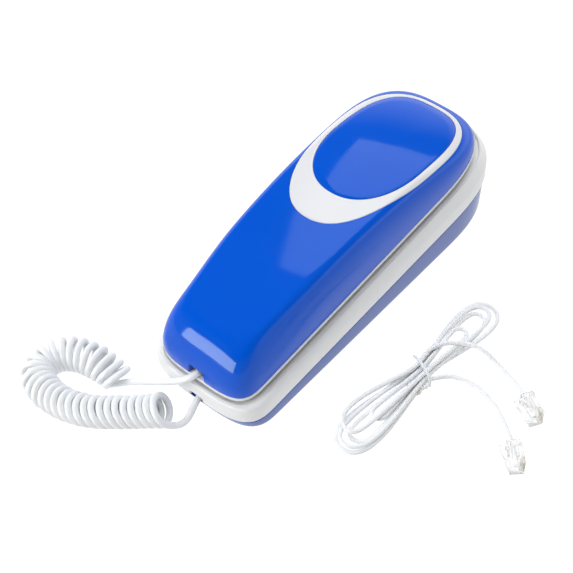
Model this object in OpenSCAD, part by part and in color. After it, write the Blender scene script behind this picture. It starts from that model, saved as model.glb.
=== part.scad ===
// Slimline telephone: one long handset lies face down over a wedge-shaped base.
// +X is to the right, +Y runs from the mouth end to the ear end, +Z is up.
// The origin is on the resting surface, under the middle of the base.

/* [Base] */
// Length of the base, front to back
base_length = 190; // [187:1:193]
// Width of the base at the front, the mouth end
base_front_width = 61; // [60:0.5:62]
// Width of the base at the back, the ear end, before its corners are rounded
base_back_width = 76; // [75:0.5:77]
// Height of the seam between the two base shells at mid length
seam_height = 16; // [15.5:0.1:16.5]
// Rise of the seam over the length of the base
seam_rise = 13; // [12:0.5:14]
// Height of the deck's outer edge at mid length
deck_height = 27; // [26.5:0.1:27.5]
// Rise of the deck's outer edge over the length of the base
deck_rise = 15; // [14:0.5:16]
// Wall of the base shells
base_wall = 2.2; // [2:0.1:2.4]
// Height of the rubber feet below the bottom shell
foot_height = 1.2; // [0.8:0.1:1.6]

/* [Handset] */
// Height of the handset's lip at mid length
lip_height = 31; // [30.8:0.1:31.5]
// Angle at which the handset lies on the base
handset_tilt = 6; // [5.8:0.1:6.2]
// Gap between the handset's outline and the base's outline at the sides
handset_side_inset = 4.7; // [4.2:0.1:5.2]
// Thickness of the white lip
lip_thickness = 2.6; // [2.4:0.1:2.8]
// Wall of the blue back shell
handset_wall = 2.4; // [2.2:0.1:2.6]
// Crown height above the lip plane at the mouth end
crown_front = 22; // [20:0.5:24]
// Middle control height of the crown
crown_middle = 44.5; // [43:0.5:46]
// Crown height above the lip plane at the ear end
crown_back = 4; // [4:0.5:5]

/* [Keypad] */
// Distance between key columns
key_pitch_x = 14; // [13:0.5:15]
// Distance between key rows
key_pitch_y = 11; // [10.5:0.25:11.5]
// Width of one key
key_width = 10; // [8:0.5:11]
// Length of one key
key_length = 7; // [6:0.5:8]
// Travel of a key
key_travel = 1.2; // [0.8:0.1:1.3]

/* [Handset cord] */
// Diameter of the handset cord
cord_diameter = 3.2; // [3:0.1:3.4]
// Outer diameter of the curly part of the handset cord
coil_diameter = 16; // [15:0.5:16]

/* [Line cord] */
// Diameter of the line cord
line_diameter = 2.1; // [1.9:0.1:2.4]
// Thickness of the tied hank, two layers of cord
hank_height = 4.4; // [4.2:0.1:4.8]

/* [Hidden] */
$fn = 32;
eps = 0.01;

// ---- outlines: [x, y] points that start at the front and run round by the right side ----
front_cap = 19;      // length of the rounded front end
back_cap = 50;       // length of the rounded back end
front_power = 3.55;  // how square the front end is
back_power = 3.05;   // how square the back end is
front_steps = 5;
side_steps = 7;
back_steps = 8;
right_count = front_steps + side_steps + back_steps;

function half_width(y, len, wf, wb) = wf / 2 + (wb - wf) / 2 * (y / len + 0.5);
function cap_point(g, power) = [pow(cos(g), 2 / power), pow(sin(g), 2 / power)];
function right_side(len) = concat(
    [for (i = [0 : front_steps - 1])
        let (c = cap_point(90 - 90 * i / front_steps, front_power))
        [c.x, front_cap * (1 - c.y) - len / 2]],
    [for (i = [0 : side_steps])
        [1, front_cap - len / 2 + i / side_steps * (len - front_cap - back_cap)]],
    [for (i = [1 : back_steps])
        let (c = cap_point(90 * i / back_steps, back_power))
        [c.x, len / 2 - back_cap * (1 - c.y)]]
);
function both_sides(right) = concat(right, [for (i = [right_count - 1 : -1 : 1]) [-right[i].x, right[i].y]]);
// The outline drawn in by side, front and back distances
function outline(len, wf, wb, side = 0, front = 0, back = 0) = both_sides(
    [for (p = right_side(len))
        let (w = half_width(p.y, len, wf, wb), f = 2 * (p.y < 0 ? front : back) / len)
        [p.x * (w - side), p.y * (1 - f)]]
);
function base_ring(side, front, back) =
    outline(base_length, base_front_width, base_back_width, side, front, back);

handset_front_inset = 3.4;
handset_back_inset = 6;
handset_length = (base_length - handset_front_inset - handset_back_inset) / cos(handset_tilt);
handset_shift = (handset_front_inset - handset_back_inset) / 2;
handset_front_width = base_front_width - 2 * handset_side_inset;
handset_back_width = base_back_width - 2 * handset_side_inset;
function handset_ring(side, front, back) =
    [for (p = outline(handset_length, handset_front_width, handset_back_width, side, front, back))
        [p.x, p.y + handset_shift]];

// ---- planes and the crown ----
lip_slope = tan(handset_tilt);
function seam_z(y) = seam_height + seam_rise / base_length * y;
function deck_z(y) = deck_height + deck_rise / base_length * y;
function lip_z(y) = lip_height + lip_slope * y;
// Height of the handset's back above its lip plane, along its length
function crown(y) = let (t = y / base_length + 0.5)
    crown_front * pow(1 - t, 2) + 2 * crown_middle * t * (1 - t) + crown_back * pow(t, 2);

// A closed solid through rings of points; each cap is a strip of level crosswise quads
module loft(rings) {
    n = len(rings[0]);
    last = len(rings) - 1;
    half = n / 2;
    sides = [for (k = [0 : last - 1], i = [0 : n - 1])
        let (j = (i + 1) % n)
        each [[k * n + i, (k + 1) * n + i, (k + 1) * n + j], [k * n + i, (k + 1) * n + j, k * n + j]]];
    function strip(k) = [for (i = [0 : half - 1])
        let (l0 = k * n + (n - i) % n, l1 = k * n + n - i - 1, r0 = k * n + i, r1 = k * n + i + 1)
        i == 0 ? [l1, r1, r0] : i == half - 1 ? [l0, r1, r0] : [l0, l1, r1, r0]];
    function flipped(faces) = [for (f = faces) [for (i = [len(f) - 1 : -1 : 0]) f[i]]];
    polyhedron(points = [for (r = rings) each r], faces = concat(sides, flipped(strip(0)), strip(last)));
}

module lie_on_base() {
    translate([0, 0, lip_height]) rotate([handset_tilt, 0, 0]) children();
}

module slab(x, y, z, sx, sy, sz) {
    translate([x - sx / 2, y - sy / 2, z]) cube([sx, sy, sz]);
}

// ---- base shells ----
floor_z = foot_height;
floor_thickness = 2.2;
groove_side = 2.4;      // deck's inner edge, in from the outline
groove_front = 1.4;
groove_back = 3.4;
groove_drop = 1.6;      // deck's inner edge, below the lip plane
groove_gap = 1.9;       // between the lip and the deck, seen from above
recess_depth = 3.4;     // floor of the cradle, below the lip plane
skirt_depth = 2.6;      // rim below the handset's lip, inside the cradle
ear_y = 52;             // centre of the ear bulge along the handset
ear_radius = 23;
ear_depth = 9;
mouth_y = -65;
mouth_radius = 12;
mouth_spread = 6;       // the mouth bulge is a slot, with an end circle this far each way
mouth_depth = 6;
well_gap = 0.8;
well_drop = 0.3;
screw_xy = [[22.5, -80], [-22.5, -80], [22, 80], [-22, 80]];
foot_xy = [[20, -68], [-20, -68], [24, 64], [-24, 64]];
boss_radius = 3.6;
pilot_radius = 1.2;
screw_head_radius = 2.9;
screw_head_seat = 2.6;  // height of the seat above the bottom face
keyhole_spacing = 101.6;
keyhole_slot_radius = 2.4;
keyhole_head_radius = 4.6;
keyhole_run = 9;        // from the entry circle to the end of the slot

module mouth_slot(radius, low, high) {
    translate([0, mouth_y, low]) linear_extrude(high - low) union() {
        for (s = [-1, 1]) translate([s * mouth_spread, 0]) circle(radius);
        square([2 * mouth_spread, 2 * radius], center = true);
    }
}
module ear_disc(radius, low, high) {
    translate([0, ear_y, low]) cylinder(r = radius, h = high - low, $fn = 48);
}

module base_lower_body() {
    loft([
        [for (p = base_ring(1.7, 4, 4.2)) [p.x, p.y, floor_z]],
        [for (p = base_ring(0.6, 2.6, 3)) [p.x, p.y, floor_z + 1.6]],
        [for (p = base_ring(0.3, 0.9, 1)) [p.x, p.y, seam_z(p.y)]]
    ]);
}
module base_lower_hollow() {
    loft([
        [for (p = base_ring(5, 6, 6.4)) [p.x, p.y, floor_z + floor_thickness]],
        [for (p = base_ring(0.7 + base_wall, 0.9 + base_wall, 1 + base_wall)) [p.x, p.y, seam_z(p.y) + 1]]
    ]);
}
cord_hole_z = 10;
cord_hole_width = 9.6;
cord_hole_height = 8.6;
jack_hole_z = 12.6;
jack_hole_width = 14;
jack_hole_height = 10;
slider_y = 18;
slider_z = 10;
slider_slot_length = 13;
slider_slot_height = 3.6;

module wall_openings() {
    slab(0, -base_length / 2, cord_hole_z - cord_hole_height / 2, cord_hole_width, 12, cord_hole_height);
    slab(0, base_length / 2, jack_hole_z - jack_hole_height / 2, jack_hole_width, 14, jack_hole_height);
    slab(-base_back_width / 2, slider_y, slider_z - slider_slot_height / 2, 20, slider_slot_length,
        slider_slot_height);
}
module keyhole(y) {
    slot_end = y + keyhole_run / 2;
    translate([0, y - keyhole_run / 2, floor_z - 1])
        cylinder(r = keyhole_head_radius, h = floor_thickness + 2);
    translate([0, slot_end, floor_z - 1]) cylinder(r = keyhole_slot_radius, h = floor_thickness + 2);
    slab(0, y, floor_z - 1, 2 * keyhole_slot_radius, keyhole_run, floor_thickness + 2);
}
module base_bottom_shell() {
    color([0.1, 0.3, 0.75]) difference() {
        base_lower_body();
        difference() {
            base_lower_hollow();
            for (p = screw_xy) translate([p.x, p.y, floor_z]) cylinder(r = boss_radius, h = 6.4);
        }
        for (p = screw_xy) translate([p.x, p.y, floor_z - 1]) {
            cylinder(r = screw_head_radius + 0.2, h = 1 + screw_head_seat);
            cylinder(r = 1.7, h = 12);
        }
        for (p = foot_xy) translate([p.x, p.y, floor_z - 1]) cylinder(r = 5.2, h = 1.8);
        for (s = [-1, 1]) keyhole(s * keyhole_spacing / 2);
        wall_openings();
    }
}

hook_x = -13;
hook_y = 24;
hook_bar = [12, 4];
hook_top = 33;          // top of the plunger while the handset holds it down
hook_flange_z = 23.2;
board_z = 7;
board_thickness = 1.6;
switch_top = board_z + board_thickness + 8;

module base_upper_body() {
    loft([
        [for (p = base_ring(0.5, 0.6, 0.7)) [p.x, p.y, seam_z(p.y) + 0.02]],
        [for (p = base_ring(0, 0, 0)) [p.x, p.y, seam_z(p.y) + 1]],
        [for (p = base_ring(0, 0, 0)) [p.x, p.y, deck_z(p.y) - 2]],
        [for (p = base_ring(0.8, 0.5, 1)) [p.x, p.y, deck_z(p.y)]],
        [for (p = base_ring(groove_side, groove_front, groove_back)) [p.x, p.y, lip_z(p.y) - groove_drop]]
    ]);
}
module base_upper_hollow() {
    ceiling = recess_depth + base_wall;
    loft([
        [for (p = base_ring(0.5 + base_wall, 0.6 + base_wall, 0.7 + base_wall)) [p.x, p.y, seam_z(p.y) - 1]],
        [for (p = base_ring(groove_side + base_wall + 1, groove_front + base_wall + 1,
            groove_back + base_wall + 1)) [p.x, p.y, lip_z(p.y) - ceiling]]
    ]);
}
module base_top_shell() {
    ceiling = recess_depth + base_wall;
    recess = handset_ring(-groove_gap, -1.6, -2);
    boss_low = floor_z + 6.6;
    boss_top = 13;
    color([0.92, 0.92, 0.92]) difference() {
        union() {
            difference() {
                base_upper_body();
                difference() {
                    base_upper_hollow();
                    lie_on_base() {
                        ear_disc(ear_radius + well_gap + base_wall, -ear_depth - well_drop - base_wall, 0);
                        mouth_slot(mouth_radius + well_gap + base_wall,
                            -mouth_depth - well_drop - base_wall, 0);
                    }
                }
            }
            for (p = screw_xy) translate([p.x, p.y, boss_low])
                cylinder(r = boss_radius, h = lip_z(p.y) - ceiling + 1 - boss_low);
        }
        lie_on_base() {
            translate([0, 0, -recess_depth]) linear_extrude(20) polygon(recess);
            ear_disc(ear_radius + well_gap, -ear_depth - well_drop, 0);
            mouth_slot(mouth_radius + well_gap, -mouth_depth - well_drop, 0);
        }
        for (p = screw_xy) translate([p.x, p.y, floor_z]) cylinder(r = pilot_radius, h = boss_top);
        slab(hook_x, hook_y, 20, hook_bar.x + 0.6, hook_bar.y + 0.6, 20);
        wall_openings();
    }
}

module rubber_feet() {
    color([0.2, 0.2, 0.2]) for (p = foot_xy) translate([p.x, p.y, 0]) {
        cylinder(r1 = 4.4, r2 = 5, h = 0.6);
        translate([0, 0, 0.6]) cylinder(r = 5, h = floor_z + 0.2);
    }
}

module screw(head_radius, head_height, shank_radius, length) {
    cylinder(r = head_radius, h = head_height);
    cylinder(r = shank_radius, h = length);
}
module base_screws() {
    color([0.7, 0.7, 0.72]) for (p = screw_xy) translate([p.x, p.y, floor_z + screw_head_seat - 2])
        difference() {
            screw(screw_head_radius - 0.2, 2, 1.3, 12);
            slab(0, 0, -1, 3.2, 0.7, 1.8);
            slab(0, 0, -1, 0.7, 3.2, 1.8);
        }
}

module base_circuit_board() {
    color([0.1, 0.45, 0.25]) difference() {
        slab(0, -8, board_z, 46, 74, board_thickness);
        for (s = [-1, 1]) translate([s * 20, -8, board_z - 1]) cylinder(r = 1.6, h = 4);
    }
    color([0.1, 0.45, 0.25]) for (s = [-1, 1], y = [-40, 24])
        translate([s * 19, y, floor_z + floor_thickness])
            cylinder(r = 2, h = board_z - floor_z - floor_thickness);
}
module ringer_buzzer() {
    color([0.15, 0.15, 0.15]) translate([0, -24, board_z + board_thickness]) difference() {
        cylinder(r = 11, h = 6);
        translate([0, 0, 4]) cylinder(r = 1.5, h = 3);
    }
}
module ballast_plate() {
    color([0.55, 0.55, 0.55]) difference() {
        slab(0, 52, floor_z + floor_thickness, 34, 30, 4);
        for (s = [-1, 1]) translate([s * 13, 52, floor_z]) cylinder(r = 2, h = 9);
        slab(0, keyhole_spacing / 2, floor_z, 14, 22, 9);
    }
}
module hook_switch_body() {
    color([0.2, 0.2, 0.22]) difference() {
        slab(hook_x, hook_y, board_z + board_thickness, 16, 10, 8);
        slab(hook_x, hook_y, board_z + board_thickness + 0.6, 3.6, 3.6, 20);
    }
}
module hook_plunger() {
    color([0.9, 0.9, 0.9]) {
        slab(hook_x, hook_y, hook_flange_z + 1.4 - eps, hook_bar.x, hook_bar.y,
            hook_top - hook_flange_z - 1.4);
        slab(hook_x, hook_y, hook_flange_z, 16, 5, 1.4);
        slab(hook_x, hook_y, board_z + board_thickness + 1, 2.8, 2.8,
            hook_flange_z - board_z - board_thickness);
    }
}

// ---- a swept tube: an eight-sided ring at each point of a route ----
function unit(v) = v / norm(v);
function heading(route, i) =
    unit(route[min(i + 1, len(route) - 1)] - route[max(i - 1, 0)]);
module tube(route, diameter, sides = 8, turn = 22.5) {
    n = len(route);
    points = [for (i = [0 : n - 1], j = [0 : sides - 1])
        let (t = heading(route, i), side = unit(cross(t, [0, 0, 1])), up = cross(side, t),
            a = turn - 360 * j / sides)
        route[i] + diameter / 2 * (cos(a) * side + sin(a) * up)];
    walls = [for (i = [0 : n - 2], j = [0 : sides - 1])
        let (a = i * sides + j, b = i * sides + (j + 1) % sides)
        each [[a, a + sides, b + sides], [a, b + sides, b]]];
    polyhedron(points = points, faces = concat(walls,
        [[for (j = [0 : sides - 1]) j]],
        [[for (j = [sides - 1 : -1 : 0]) (n - 1) * sides + j]]));
}
spring_turns = 4;
spring_steps = 12;
spring_radius = 2.9;
spring_low = switch_top + 0.35;
spring_high = hook_flange_z - 0.35;
module hook_spring() {
    count = spring_turns * spring_steps;
    route = [for (i = [0 : count])
        [hook_x + spring_radius * cos(360 * i / spring_steps),
            hook_y + spring_radius * sin(360 * i / spring_steps),
            spring_low + (spring_high - spring_low) * i / count]];
    color([0.75, 0.75, 0.78]) tube(route, 0.6, 6, 30);
}

slider_wall_x = half_width(slider_y, base_length, base_front_width, base_back_width);
module ringer_slider() {
    color([0.9, 0.9, 0.9]) {
        slab(-slider_wall_x + 1.95, slider_y, slider_z - 1.4, 6.1, 5.4, 2.8);
        slab(-slider_wall_x + 5.7, slider_y, slider_z - 2.6, 1.6, 8, 5.2);
    }
}
module ringer_switch_body() {
    low = floor_z + floor_thickness;
    color([0.3, 0.3, 0.32]) slab(-slider_wall_x + 9, slider_y, low, 4, 20, slider_z + 4 - low);
}

socket = [9.9, 12, 6.9];
module line_jack() {
    color([0.85, 0.85, 0.82]) difference() {
        union() {
            slab(0, base_length / 2 - 9.5, jack_hole_z - 4.7, 13.6, 14, 9.4);
            slab(0, base_length / 2 - 12, floor_z + floor_thickness, 9, 8, 6);
        }
        slab(0, base_length / 2 - 2.5 - socket.y / 2 + eps, jack_hole_z - socket.z / 2,
            socket.x, socket.y + 0.1, socket.z);
        slab(0, base_length / 2 - 2.5 - 2, jack_hole_z - socket.z / 2 - 1, 4.2, 4.2, 2);
    }
}

// ---- handset cord plugs and jacks ----
plug = [7.6, 11, 6];
module plug_body(length) {
    translate([-plug.x / 2, 0, -plug.z / 2]) cube([plug.x, length, plug.z]);
    translate([-1.6, 3, -plug.z / 2 - 0.9]) cube([3.2, length - 3.5, 1]);
}
jack_wall = 0.9;
module jack_block() {
    difference() {
        translate([-plug.x / 2 - jack_wall, 0.95, -plug.z / 2 - 2.2])
            cube([plug.x + 2 * jack_wall, 13, plug.z + 2.2 + jack_wall]);
        translate([-plug.x / 2 - 0.1, 0, -plug.z / 2 - 0.05]) cube([plug.x + 0.2, 12, plug.z + 0.15]);
        translate([-1.9, 0, -plug.z / 2 - 1.2]) cube([3.8, 12, 1.4]);
    }
}
base_plug_y = -base_length / 2 + 6.4;
upper_plug_y = -handset_length / 2 + handset_shift + 1.6;
jack_floor = 0.8;        // what is left of the lip under the handset's jack
upper_plug_n = jack_floor + jack_wall + plug.z / 2;
module base_cord_jack() {
    color([0.85, 0.85, 0.82]) {
        translate([0, base_plug_y, cord_hole_z]) jack_block();
        slab(0, base_plug_y + 8, floor_z + floor_thickness, 6, 8, 2);
    }
}
module handset_plug_lower() {
    color([0.85, 0.88, 0.9, 0.6]) translate([0, base_plug_y, cord_hole_z]) plug_body(plug.y);
}
module handset_cord_jack() {
    color([0.85, 0.85, 0.82]) lie_on_base() translate([0, upper_plug_y, upper_plug_n])
        rotate([0, 180, 0]) jack_block();
}
module handset_plug_upper() {
    color([0.85, 0.88, 0.9, 0.6]) lie_on_base() translate([0, upper_plug_y, upper_plug_n])
        rotate([0, 180, 0]) plug_body(plug.y);
}

// ---- handset ----
crown_inset = 8;
crown_front_inset = 18;
crown_power = 2.9;
crown_steps = 6;
// The blue back of the handset, drawn in by a wall's thickness on every side
module crown_body(wall = 0, low = lip_thickness) {
    loft([for (k = [0 : crown_steps])
        let (g = 90 * k / crown_steps, c = cap_point(g, crown_power), e = 1 - c.x)
        [for (p = handset_ring(wall + crown_inset * e, wall + crown_front_inset * e, wall + crown_inset * e))
            [p.x, p.y, low + (crown(p.y) - wall - low) * c.y]]]);
}
function egg(cy, front, back, width, front_n, back_n, steps = 40) = [for (i = [0 : steps - 1])
    let (a = 360 * i / steps, s = sin(a), c = cos(a), n = s < 0 ? front_n : back_n)
    [width * sign(c) * pow(abs(c), 2 / n), cy + (s < 0 ? front : back) * sign(s) * pow(abs(s), 2 / n)]];
ring_outline = egg(47.2, 59.6, 38.2, 27.6, 2.26, 2.6);
cap_outline = egg(40.6, 35.2, 42.2, 24.0, 2.2, 2.95);
trim_depth = 1.4;
trim_gap = 0.15;
module column(outline_points, grow = 0) {
    linear_extrude(60) offset(delta = grow) polygon(outline_points);
}
plug_notch_height = upper_plug_n + plug.z / 2 + 1.2 - lip_thickness;
module handset_back_shell() {
    color([0.1, 0.3, 0.75]) lie_on_base() difference() {
        crown_body();
        difference() {
            crown_body(handset_wall, lip_thickness - 1);
            for (p = handset_screw_y) translate([0, p, 0]) cylinder(r = boss_radius, h = 60);
        }
        difference() {
            translate([0, 0, lip_thickness]) column(ring_outline, trim_gap);
            crown_body(trim_depth, lip_thickness - 2);
        }
        for (p = handset_screw_y) translate([0, p, 0]) cylinder(r = pilot_radius, h = 16);
        slab(0, upper_plug_y, lip_thickness - 0.1, plug.x + 0.5, 12, plug_notch_height);
        slab(0, upper_plug_y + 7.2, lip_thickness - 0.1, plug.x + 2.4, 12.8, plug_notch_height + 1.6);
        translate([0, upper_plug_y - 12.4, lip_thickness - 0.1]) rotate([-90, 0, 0])
            linear_extrude(11.6) polygon([[-5.2, 0], [5.2, 0], [4.6, -plug_notch_height - 0.7],
                [-4.6, -plug_notch_height - 0.7]]);
    }
}
module crescent_trim() {
    color([0.9, 0.92, 0.95]) lie_on_base() difference() {
        intersection() {
            crown_body(0.05);
            column(ring_outline);
        }
        crown_body(trim_depth - 0.1, lip_thickness - 2);
        column(cap_outline, trim_gap);
    }
}
module ear_cap() {
    color([0.1, 0.3, 0.75]) lie_on_base() difference() {
        intersection() {
            crown_body(0.05);
            column(cap_outline);
        }
        crown_body(trim_depth - 0.1, lip_thickness - 2);
    }
}

keypad_y = -32;         // row of the lowest keys
function_y = keypad_y + 4 * key_pitch_y + 2;
function_size = [9, 4.4];
key_stand = 1.6;        // how far a key stands below the face
key_gap = 0.3;
flange_z = lip_thickness + 0.1;
handset_screw_y = [-46.5, 24.5];
mat_n = flange_z + 1 + key_travel + 0.15;
mat_thickness = 0.9;
board_n = mat_n + mat_thickness;
board_y = -9.8;
board_length = 59.4;
function key_x(column) = (1 - column) * key_pitch_x;

module key_holes() {
    for (row = [0 : 3], column = [0 : 2])
        slab(key_x(column), keypad_y + row * key_pitch_y, -1,
            key_width + 2 * key_gap, key_length + 2 * key_gap, 6);
    for (column = [0 : 2])
        slab(key_x(column), function_y, -1,
            function_size.x + 2 * key_gap, function_size.y + 2 * key_gap, 6);
}
module handset_front_shell() {
    color([0.92, 0.92, 0.92]) lie_on_base() difference() {
        union() {
            linear_extrude(lip_thickness) polygon(handset_ring(0, 0, 0));
            ear_disc(ear_radius, -ear_depth, eps);
            mouth_slot(mouth_radius, -mouth_depth, eps);
            difference() {
                translate([0, 0, -skirt_depth]) linear_extrude(skirt_depth + eps)
                    polygon(handset_ring(1.4, 1.2, 1.4));
                translate([0, 0, -skirt_depth - 1]) linear_extrude(20) polygon(handset_ring(3, 2.8, 3));
            }
            for (s = [-1, 1])
                slab(s * 23, board_y, lip_thickness - eps, 1.6, board_length, board_n - lip_thickness);
            difference() {
                linear_extrude(lip_thickness + 2) polygon(handset_ring(2.9, 3.4, 3));
                translate([0, 0, -1]) linear_extrude(10) polygon(handset_ring(4.1, 4.6, 4.2));
                slab(0, -handset_length / 2, 0, 16, 30, 10);
                slab(0, handset_length / 2, lip_thickness, 90, 40, 10);
            }
        }
        ear_disc(ear_radius - 2, 2 - ear_depth, 20);
        mouth_slot(mouth_radius - 2, 2 - mouth_depth, 20);
        translate([0, ear_y, -20]) cylinder(r = 1.2, h = 30);
        for (a = [0 : 60 : 300]) translate([6 * cos(a), ear_y + 6 * sin(a), -20]) cylinder(r = 1.2, h = 30);
        for (s = [-1, 0, 1]) translate([4 * s, mouth_y, -20]) cylinder(r = 0.8, h = 30);
        for (y = handset_screw_y) translate([0, y, -1]) {
            cylinder(r = 3.1, h = 2.2);
            cylinder(r = 1.7, h = 8);
        }
        slab(0, upper_plug_y + 7, jack_floor, plug.x + 2 * jack_wall + 0.6, 14.4, 5);
        key_holes();
    }
}
module earpiece_speaker() {
    color([0.25, 0.25, 0.27]) lie_on_base() {
        ear_disc(18, 2 - ear_depth, 6 - ear_depth);
        ear_disc(10, 6 - ear_depth - eps, 9 - ear_depth);
    }
}
module microphone_capsule() {
    color([0.7, 0.7, 0.7]) lie_on_base()
        translate([0, mouth_y, 2 - mouth_depth]) cylinder(r = 4.85, h = 5);
}
module keypad_mat() {
    color([0.6, 0.62, 0.65]) lie_on_base() slab(0, board_y, mat_n, 43, board_length - 2, mat_thickness);
}
module keypad_board() {
    color([0.1, 0.45, 0.25]) lie_on_base() slab(0, board_y, board_n, 48, board_length, 1.6);
}
module handset_screws() {
    color([0.7, 0.7, 0.72]) lie_on_base() for (y = handset_screw_y) translate([0, y, 0.1])
        difference() {
            screw(2.8, 1.1, 1.3, 12);
            slab(0, 0, -1, 3.2, 0.7, 1.5);
            slab(0, 0, -1, 0.7, 3.2, 1.5);
        }
}

module key(x, y, width, length) {
    color([0.9, 0.9, 0.92]) lie_on_base() {
        slab(x, y, 0.4 - key_stand, width, length, flange_z + key_stand);
        slab(x, y, -key_stand, width - 1, length - 1, 1);
        slab(x, y, flange_z, width + 2, length + 2, 1);
    }
}
module dial_key(row, column) {
    key(key_x(column), keypad_y + row * key_pitch_y, key_width, key_length);
}
module function_key(column) {
    key(key_x(column), function_y, function_size.x, function_size.y);
}

// ---- handset cord ----
coil_z = coil_diameter / 2;
coil_route = [for (p = [[-34, -108.2], [-42, -107.6], [-50, -107.8], [-58, -109.2], [-65, -113.5],
    [-69, -120.3], [-68.5, -127], [-63, -132], [-54, -133.5], [-44, -132], [-34, -128], [-25, -121.5],
    [-16, -114], [-8, -107]]) [p.x, p.y, coil_z]];
upper_lead_route = [[-0.3, -93.6, 25.8], [-2.2, -95.7, 24.6], [-5.2, -97.6, 22.6], [-9.6, -99.4, 19.8],
    [-15, -101.3, 16.8], [-21, -103.2, 13.6], [-26, -104.6, 10.6], [-30, -105.4, 8], [-32.3, -106, 6.1]];
lower_lead_route = [[-4.8, -110.6, 1.7], [-2.8, -108.9, 1.7], [-0.6, -107.2, 1.7], [1.2, -105.2, 2.3],
    [1.4, -102.4, 4.2], [0.9, -98.8, 7], [0.2, -95, 9.3], [0, base_plug_y, cord_hole_z]];
module handset_cord_coil() {
    color([0.93, 0.94, 0.95]) tube(coil_route, coil_diameter, 12, 15);
}
module handset_cord_lead_upper() {
    entry = [0, upper_plug_y * cos(handset_tilt) - upper_plug_n * sin(handset_tilt),
        lip_height + upper_plug_y * sin(handset_tilt) + upper_plug_n * cos(handset_tilt)];
    color([0.93, 0.94, 0.95]) tube(concat([entry], upper_lead_route), cord_diameter);
}
module handset_cord_lead_lower() {
    color([0.93, 0.94, 0.95]) tube(lower_lead_route, cord_diameter);
}

// ---- line cord ----
tie_xy = [68, -18];
// Each lobe of the hank: its far end, its half width and how far along it is widest
lobe_front = [62, -73];
lobe_back = [72, 33];
waist = 4.6;
function lobe(far, half, steps = 10) =
    let (axis = far - tie_xy, reach = norm(axis), u = axis / reach, v = [-u.y, u.x])
    [for (i = [0 : steps]) let (t = 180 * i / steps, s = (1 - cos(t)) / 2)
        tie_xy + u * reach * s + v * (waist * (1 - s) + half * sin(t) * pow(s, 0.7))];
function mirrored(far, pts) = let (u = unit(far - tie_xy), v = [-u.y, u.x])
    [for (i = [len(pts) - 2 : -1 : 0]) pts[i] - v * 2 * ((pts[i] - tie_xy) * v)];
function lobe_outline(far, half) = let (pts = lobe(far, half)) concat(pts, mirrored(far, pts));
module line_cord_hank() {
    color([0.93, 0.94, 0.96]) linear_extrude(hank_height) union() {
        polygon(lobe_outline(lobe_front, 15));
        polygon(lobe_outline(lobe_back, 12.8));
    }
}
tail_low = line_diameter / 2;
over_hank = hank_height + line_diameter / 2;
tail_a_route = [[64, -15, over_hank], [64, -8, over_hank], [66.6, -2.5, over_hank], [71.7, 2.6, over_hank],
    [78.5, 6.2, over_hank], [82.4, 7, over_hank], [86.5, 7.2, 4], [90.5, 6.9, 2], [95, 6, tail_low],
    [101, 4.4, tail_low], [106, 2, 2], [110, -0.4, 3.6], [113, -2.6, 4.8]];
tail_b_route = [[74.2, -18.6, tail_low], [74.9, -15.4, tail_low], [77.7, -12, tail_low],
    [83.6, -9.5, tail_low], [90.6, -8.7, tail_low], [98.2, -10.1, tail_low], [105.1, -12.9, tail_low],
    [111.6, -17, tail_low],
    [116, -20.5, 2], [119.4, -23.6, 3.6], [121.8, -26, 4.8]];
module line_cord_tail_a() {
    color([0.93, 0.94, 0.96]) tube(tail_a_route, line_diameter);
}
module line_cord_tail_b() {
    color([0.93, 0.94, 0.96]) tube(tail_b_route, line_diameter);
}
plug_a_place = [113, -2.6, -33];
plug_b_place = [121.8, -26, -46];
line_plug = [12.4, 6.6, 9.65];
latch = [12, 1.2, 3.2];
// A six-way modular plug on its side; its cord comes in at the back, its latch stands off to one side
module modular_plug(place) {
    translate([place.x, place.y, 0]) rotate([0, 0, place.z]) children();
}
module line_plug_solid() {
    difference() {
        translate([0, -line_plug.y / 2, 0]) cube(line_plug);
        translate([line_plug.x - 4.6, line_plug.y / 2 - 1.2, 1.8]) cube([3.4, 2, 6]);
    }
    translate([line_plug.x - 0.6, 0.8 - line_plug.y / 2, (line_plug.z - latch.z) / 2]) rotate([0, 0, 194])
        cube(latch);
}
module line_plug_a() {
    color([0.85, 0.88, 0.9, 0.6]) modular_plug(plug_a_place) line_plug_solid();
}
module line_plug_b() {
    color([0.85, 0.88, 0.9, 0.6]) modular_plug(plug_b_place) line_plug_solid();
}
module line_plug_contacts() {
    color([0.8, 0.65, 0.25]) for (place = [plug_a_place, plug_b_place]) modular_plug(place)
        for (i = [0 : 3]) translate([line_plug.x - 4.6 + eps, line_plug.y / 2 - 1.2, 2.6 + 1.27 * i])
            cube([3.3, 1, 0.5]);
}
module twist_tie() {
    wire = 1.2;
    color([0.95, 0.95, 0.95]) translate([tie_xy.x, tie_xy.y, 0]) rotate([0, 0, -24]) difference() {
        translate([-waist - 2, -wire / 2, 0]) cube([2 * waist + 4, wire, hank_height + 1]);
        translate([-waist - 1, -wire, -1]) cube([2 * waist + 2, 2 * wire, hank_height + 1.05]);
    }
}

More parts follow.
